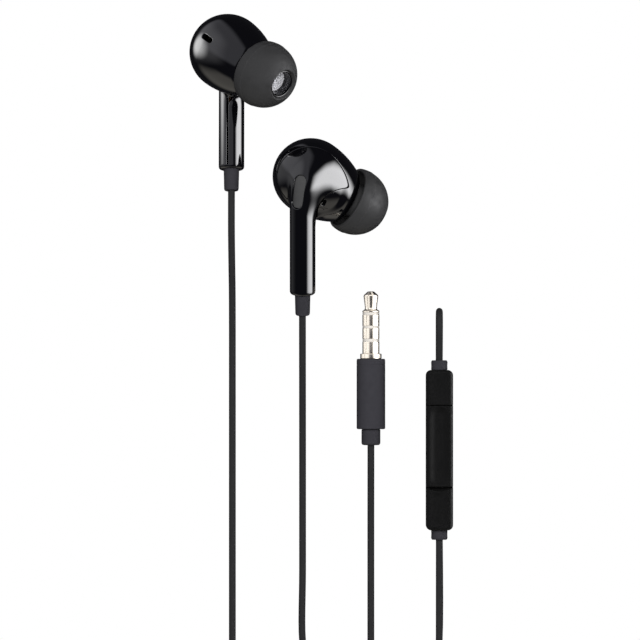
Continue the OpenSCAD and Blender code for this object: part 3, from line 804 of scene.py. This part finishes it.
for side, place in BUDS.items():
    bud_shells(side, place)
    grille(side, place)
    woven_disc(side, place)
    ear_tip(side, place)
    strain_relief(side, place)

# ---------------------------------------------------------------- remote


def rounded_section(half_w, low, high, low_r, high_r, steps=6):
    """Closed outline of (x, z): a box with its lower and upper corners rounded."""
    low_r, high_r = (max(0.02, min(r, half_w - 0.02, (high - low) / 2 - 0.01)) for r in (low_r, high_r))
    out = []
    for cx, cz, r, start in ((half_w - low_r, low + low_r, low_r, -90), (half_w - high_r, high - high_r, high_r, 0),
                             (high_r - half_w, high - high_r, high_r, 90), (low_r - half_w, low + low_r, low_r, 180)):
        out += arc((cx, cz), r, start, start + 90, steps)
    return out


def inset_at(distance, radius):
    """How far a rounded edge draws in at a distance from its end."""
    if distance >= radius:
        return 0
    return radius - math.sqrt(max(radius ** 2 - (radius - distance) ** 2, 0))


def remote_part(name, node, start, end, low, high, low_r, high_r, round_start, round_end, dish=0.0, bow=0.0):
    """A stretch of the remote's case from one station to another, along -Y from the top end. A dish sinks the
    middle of its top, and a bow draws the middle of its first end away."""
    radii = [REMOTE_END_R if rounded else REMOTE_EDGE for rounded in (round_start, round_end)]
    heights = [REMOTE_END_DROP if rounded else REMOTE_EDGE for rounded in (round_start, round_end)]
    near = [0.004, 0.03, 0.08, 0.16, 0.3, 0.5, 0.75, REMOTE_END_R]
    stations = sorted({start + d for d in near} | {end - d for d in near}
                      | set(np.linspace(start + 1.4, end - 1.4, 24).tolist()))
    points, rows = [], []
    for s in stations:
        ends = (s - start, end - s)
        narrow = max(inset_at(d, r) for d, r in zip(ends, radii))
        lower = max(inset_at(d, r) for d, r in zip(ends, heights))
        section = rounded_section(REMOTE_W / 2 - narrow, low + lower, high - lower, low_r, high_r)
        # The flat top gets more points, for the dish
        split = len(section) // 2
        corner_x, corner_z = section[split - 1]
        flat = [(corner_x * u, corner_z) for u in np.linspace(1, -1, 13)[1:-1]]
        section = section[:split] + flat + section[split:]
        row = []
        for x, z in section:
            if dish and z > high - lower - high_r:
                past = max(abs(s - (start + end) / 2) - ((end - start) / 2 - DISH_END), 0)
                reach = np.hypot(x / DISH_HALF_W, past / DISH_END_R)
                z -= dish * (1 - eased_step(np.array(max(reach - 0.3, 0) / 0.7)).item())
            row.append(len(points))
            drawn = bow * max(1 - (2 * x / REMOTE_W) ** 2, 0) * max(1 - (s - start) / BOW_REACH, 0)
            points.append((x, -s - drawn, z))
        rows.append(row)
    faces = []
    for a, b in zip(rows, rows[1:]):
        for i in range(len(a)):
            j = (i + 1) % len(a)
            faces.append([a[i], a[j], b[j], b[i]])
    faces += [rows[0][::-1], rows[-1]]
    return finished(name, mesh_of(name, points, faces, REMOTE), node)


remote_part("remote_base_look", "remote_base", 0, REMOTE_L, 0, BASE_TOP, 1.3, 0.1, True, True)
stops = (0, *REMOTE_SPLITS, REMOTE_L)
buttons = ("volume_up_button", "play_button", "volume_down_button")
for i, node in enumerate(buttons):
    first, last = stops[i] + CAP_GAP / 2 * (i > 0), stops[i + 1] - CAP_GAP / 2 * (i < 2)
    remote_part(f"{node}_look", node, first, last, CAP_FLOOR, REMOTE_T, 0.1, 1.05, i == 0, i == 2,
                dish=0.4 if i == 1 else 0.1, bow=0.75 if i == 2 else 0.0)


def remote_relief(name, node, y, way):
    """A short ribbed sleeve where a cord enters the remote's end."""
    place = REMOTE @ shift(0, y, 1.8) @ turn("X", -90 * way)
    outline = [(CORD_R, -1.5), (1.05, -1.5), (1.05, 0.0), (1.7, 0.0), (1.66, 0.9), (1.7, 1.6), (1.55, 2.0),
               (CORD_R, 2.0)]
    turned(name, outline, node, place, around=64, edge=0.2)


remote_relief("remote_upper_relief_look", "remote_upper_relief", 0, 1)
remote_relief("remote_lower_relief_look", "remote_lower_relief", -REMOTE_L, -1)

# ---------------------------------------------------------------- plug


def ring(name, node, first, last, radius=PLUG_R, edge=0.06):
    """A turned ring of the plug between two distances from its point."""
    low, high = PLUG_LEN - last, PLUG_LEN - first
    outline = [(RING_BORE_R, low), (radius, low), (radius, high), (RING_BORE_R, high)]
    return turned(name, outline, node, PLUG, edge=edge)


tip_end, sleeve_end = PLUG_LEN - BANDS[0][0], PLUG_LEN - FLANGE_L - FLANGE_GAP
tip_outline = [(0, tip_end), (PLUG_R, tip_end), (PLUG_R, PLUG_LEN - 4.02),
               (1.3, PLUG_LEN - 3.72), (1.22, PLUG_LEN - 3.4), (1.52, PLUG_LEN - 0.95), (1.42, PLUG_LEN - 0.72),
               (0.72, PLUG_LEN - 0.08), (0.45, PLUG_LEN), (0, PLUG_LEN)]
plug_pieces = [
    turned("plug_tip_look", tip_outline, "plug_tip", PLUG, edge=0.12, closed=False),
    ring("plug_first_ring_look", "plug_first_ring", BANDS[0][1], BANDS[1][0]),
    ring("plug_second_ring_look", "plug_second_ring", BANDS[1][1], BANDS[2][0]),
    ring("plug_sleeve_look", "plug_sleeve", BANDS[2][1], sleeve_end),
    ring("plug_flange_look", "plug_sleeve", sleeve_end, PLUG_LEN, FLANGE_R, 0.14),
]
for i, (first, last) in enumerate(BANDS):
    plug_pieces.append(ring(f"plug_insulator_{i + 1}_look", "plug_insulators", first, last, PLUG_R - BAND_STEP,
                            0.03))
grip_outline = [(RING_BORE_R, 0.0), (GRIP_R - 0.05, 0.0), (GRIP_R, -0.5), (GRIP_R, -1.15), (GRIP_R - 0.05, -1.25),
                (GRIP_R, -1.35), (GRIP_R, -GRIP_L), (1.3, -GRIP_L), (1.3, 2 - GRIP_L),
                (RING_BORE_R, 2 - GRIP_L)]
plug_pieces.append(turned("plug_grip_look", grip_outline, "plug_grip", PLUG, edge=0.3))
relief_outline = [(CORD_R, 1.9 - GRIP_L), (1.25, 1.9 - GRIP_L), (1.25, -GRIP_L), (1.95, -GRIP_L),
                  (1.95, -GRIP_L - 3.3), (CORD_R, -GRIP_L - 3.3)]
plug_pieces.append(turned("plug_relief_look", relief_outline, "plug_relief", PLUG, edge=0.55))
plug_pieces.append(frame["nodes"]["plug_core"])

# ---------------------------------------------------------------- splitter and ties

splitter_outline = [(0, 0), (1.5, 0), (1.9, 0.6), (1.9, 3.2), (1.82, 3.4), (1.9, 3.6), (1.9, 9.6), (1.6, 10),
                    (0, 10)]
splitter = turned("splitter_body_look", splitter_outline, "splitter_body", SPLITTER, edge=0.25, closed=False)
splitter_end = [(CORD_R, 10.0), (1.5, 10.0), (1.1, 11.4), (0.8, 12.7), (CORD_R, 12.7)]
splitter_relief = turned("splitter_relief_look", splitter_end, "splitter_relief", SPLITTER, edge=0.12)


def tie(name, node, centre, middle, columns, layers, degrees):
    """A soft strap round a coil's bundle."""
    half_w, half_h, thick, width = columns * CORD_R + 0.2, layers * CORD_R + 0.03, 0.35, 2.4
    place = (shift(centre[0] / MM, centre[1] / MM, COIL_LIFT + layers * CORD_R)
             @ turn("Z", degrees) @ shift(middle, 0, 0) @ turn("X", 90))
    rows, points = [], []
    profile = eased([(0, -width / 2), (thick, -width / 2), (thick, width / 2), (0, width / 2)], 0.12)
    loop = rounded_section(half_w, -half_h, half_h, 0.5, 0.5, 8)
    for i, (x, z) in enumerate(loop):
        before, after = np.array(loop[i - 1]), np.array(loop[(i + 1) % len(loop)])
        along = after - before
        out = np.array([along[1], -along[0]]) / max(np.linalg.norm(along), 1e-9)
        rows.append(range(len(points), len(points) + len(profile)))
        points += [(x + out[0] * t, z + out[1] * t, w) for t, w in profile]
    faces = []
    for i in range(len(rows)):
        a, b = rows[i], rows[(i + 1) % len(rows)]
        for k in range(len(profile)):
            j = (k + 1) % len(profile)
            faces.append([a[k], a[j], b[j], b[k]])
    return finished(name, mesh_of(name, points, faces, place), node)


left_tie = tie("left_coil_tie_look", "left_coil_tie", LEFT_COIL_AT, LEFT_COIL_R, 2, 2, 0)
trunk_tie = tie("trunk_coil_tie_look", "trunk_coil_tie", TRUNK_COIL_AT, TRUNK_COIL_R, 4, 4, -45)

# ---------------------------------------------------------------- CAD nodes that stay

for node, piece in frame["nodes"].items():
    if not piece.hide_render:
        piece.data.materials.clear()
        piece.data.materials.append(LOOKS[SLOT_OF[node]])

# ---------------------------------------------------------------- floor, light and world


def studio_floor():
    """A white floor that throws little light back at the sides, and isn't mirrored in the gloss."""
    mesh = bpy.data.meshes.new("floor")
    reach = 1.5
    mesh.from_pydata([(-reach, -reach, 0), (reach, -reach, 0), (reach, reach, 0), (-reach, reach, 0)], [],
                     [(0, 1, 2, 3)])
    floor = bpy.data.objects.new("floor", mesh)
    scene.collection.objects.link(floor)
    floor.location.z = -0.00002
    material = bpy.data.materials.new("floor")
    material.use_nodes = True
    tree = material.node_tree
    pale = node_in(tree, "ShaderNodeBsdfDiffuse", [("Color", (0.2, 0.2, 0.2, 1))])
    clear = node_in(tree, "ShaderNodeBsdfTransparent")
    white = node_in(tree, "ShaderNodeEmission", [("Color", (1, 1, 1, 1)), ("Strength", 1.0)])
    path = node_in(tree, "ShaderNodeLightPath").outputs
    mix = node_in(tree, "ShaderNodeMixShader", [(0, path["Is Glossy Ray"]), (1, pale.outputs[0]),
                                                (2, clear.outputs[0])])
    seen = node_in(tree, "ShaderNodeMixShader", [(0, path["Is Camera Ray"]), (1, mix.outputs[0]),
                                                 (2, white.outputs[0])])
    tree.links.new(seen.outputs[0], tree.nodes["Material Output"].inputs["Surface"])
    mesh.materials.append(material)


def area_light(name, place, target, width, height, power):
    """A light that the camera doesn't see, facing a target."""
    light = bpy.data.lights.new(name, "AREA")
    light.shape = "RECTANGLE"
    light.size, light.size_y = width, height
    light.energy = power
    piece = bpy.data.objects.new(name, light)
    scene.collection.objects.link(piece)
    piece.location = place
    piece.rotation_euler = (Vector(target) - Vector(place)).to_track_quat("-Z", "Y").to_euler()
    piece.visible_camera = False
    return piece


def glow(name, place, target, width, height, power, nodes, sharp=0.1):
    """A soft-edged light close to a few pieces. Only the gloss of those pieces shows it. It is bright within the
    sharp distance of its middle, and fades to nothing at its sides, half its size away."""
    piece = area_light(name, place, target, width, height, power)
    piece.visible_diffuse = False
    piece.data.use_nodes = True
    tree = piece.data.node_tree
    spot = node_in(tree, "ShaderNodeNewGeometry").outputs["Parametric"]
    middle = node_in(tree, "ShaderNodeVectorMath", [(0, spot), (1, (0.5, 0.5, 0))], operation="SUBTRACT").outputs[0]
    flat = node_in(tree, "ShaderNodeVectorMath", [(0, middle), (1, (1, 1, 0))], operation="MULTIPLY").outputs[0]
    away = node_in(tree, "ShaderNodeVectorMath", [(0, flat)], operation="LENGTH").outputs["Value"]
    fade = node_in(tree, "ShaderNodeMapRange", [("Value", away), ("From Min", sharp), ("From Max", 0.5),
                                               ("To Min", 1.0), ("To Max", 0.0)],
                   interpolation_type="SMOOTHSTEP").outputs["Result"]
    tree.links.new(fade, tree.nodes["Emission"].inputs["Strength"])
    lit = bpy.data.collections.new(name)
    for each in nodes:
        lit.objects.link(bpy.data.objects[f"{each}_look"])
    piece.light_linking.receiver_collection = lit


def panel(tree, looking, azimuth, elevation, half_width, half_height, soft, color):
    """A soft-edged bright panel of the studio round the object, as a colour by direction. All in degrees."""
    turned_to = turn("Z", azimuth) @ turn("Y", -elevation)
    ahead, side, up = (node_in(tree, "ShaderNodeVectorMath", [(0, looking), (1, turned_to.col[k][:3])],
                               operation="DOT_PRODUCT").outputs["Value"] for k in (0, 1, 2))
    mask = node_in(tree, "ShaderNodeMath", [(0, ahead), (1, 0.05)], operation="GREATER_THAN").outputs[0]
    for value, half in ((side, half_width), (up, half_height)):
        slant = node_in(tree, "ShaderNodeMath", [(0, value), (1, ahead)], operation="DIVIDE").outputs[0]
        size = node_in(tree, "ShaderNodeMath", [(0, slant)], operation="ABSOLUTE").outputs[0]
        edge = node_in(tree, "ShaderNodeMapRange",
                       [("Value", size), ("From Min", math.tan(math.radians(half - soft))),
                        ("From Max", math.tan(math.radians(half + soft))), ("To Min", 1.0), ("To Max", 0.0)],
                       interpolation_type="SMOOTHSTEP").outputs["Result"]
        mask = node_in(tree, "ShaderNodeMath", [(0, mask), (1, edge)], operation="MULTIPLY").outputs[0]
    return node_in(tree, "ShaderNodeVectorMath", [(0, color), ("Scale", mask)], operation="SCALE").outputs[0]


def ray_mix(tree, ray, others, those):
    """One colour for a kind of ray, and another for the others."""
    path = node_in(tree, "ShaderNodeLightPath").outputs[ray]
    mix = node_in(tree, "ShaderNodeMix", [(0, path)], data_type="RGBA")
    for socket, color in ((mix.inputs[6], others), (mix.inputs[7], those)):
        if isinstance(color, bpy.types.NodeSocket):
            tree.links.new(color, socket)
        else:
            socket.default_value = (*color, 1)
    return mix.outputs[2]


# Panels that the gloss shows: azimuth, elevation, half width, half height, softness, colour
PANELS = [
    (3, 18, 25, 26, 11, (6.2, 6.2, 6.3)),
    (128, 30, 38, 62, 7, (0.27, 0.27, 0.295)),
    (155, 0, 32, 34, 14, (0.3, 0.3, 0.31)),
    (-95, -14, 55, 30, 10, (0.4, 0.38, 0.34)),
]
BETWEEN_PANELS = (0.02, 0.02, 0.024)
FILL = (0.065, 0.065, 0.068)
BACKDROP = (0.93, 0.93, 0.94)

LEFT_BUD_AT, PLUG_AT = (-0.019, 0.046, 0.009), (0.0118, -0.0096, 0.003)
LEFT_HOUSINGS = ("left_outer_shell", "left_inner_shell")
PLUG_METAL = ("plug_tip", "plug_first_ring", "plug_second_ring", "plug_sleeve", "plug_flange")
PLUG_LIGHTS = {
    "plug_left": ((-0.035, -0.0096, 0.02), 0.12),
    "plug_right": ((0.0585, -0.0096, 0.02), 0.13),
    "plug_far": ((0.0118, 0.042, 0.03), 0.12),
}

studio_floor()
glow("side_box", (-0.087, 0.063, -0.001), LEFT_BUD_AT, 0.075, 0.085, 0.085, LEFT_HOUSINGS)
for name, (place, height) in PLUG_LIGHTS.items():
    glow(name, place, PLUG_AT, 0.12, height, 0.075, PLUG_METAL, sharp=0.38)
# This one shades the matte pieces and isn't mirrored in the gloss
top_box = area_light("top_box", (0.0, 0.08, 0.6), (0, 0.0, 0.01), 0.3, 0.3, 3.5)
top_box.visible_glossy = False

scene.world = bpy.data.worlds.new("world")
scene.world.use_nodes = True
world_tree = scene.world.node_tree
looking = node_in(world_tree, "ShaderNodeTexCoord").outputs["Generated"]
studio = BETWEEN_PANELS
for values in PANELS:
    studio = node_in(world_tree, "ShaderNodeVectorMath", [(0, panel(world_tree, looking, *values)), (1, studio)],
                     operation="ADD").outputs[0]
unseen = ray_mix(world_tree, "Is Glossy Ray", FILL, studio)
world_tree.links.new(ray_mix(world_tree, "Is Camera Ray", unseen, BACKDROP),
                     world_tree.nodes["Background"].inputs["Color"])
scene.view_settings.view_transform = "Standard"
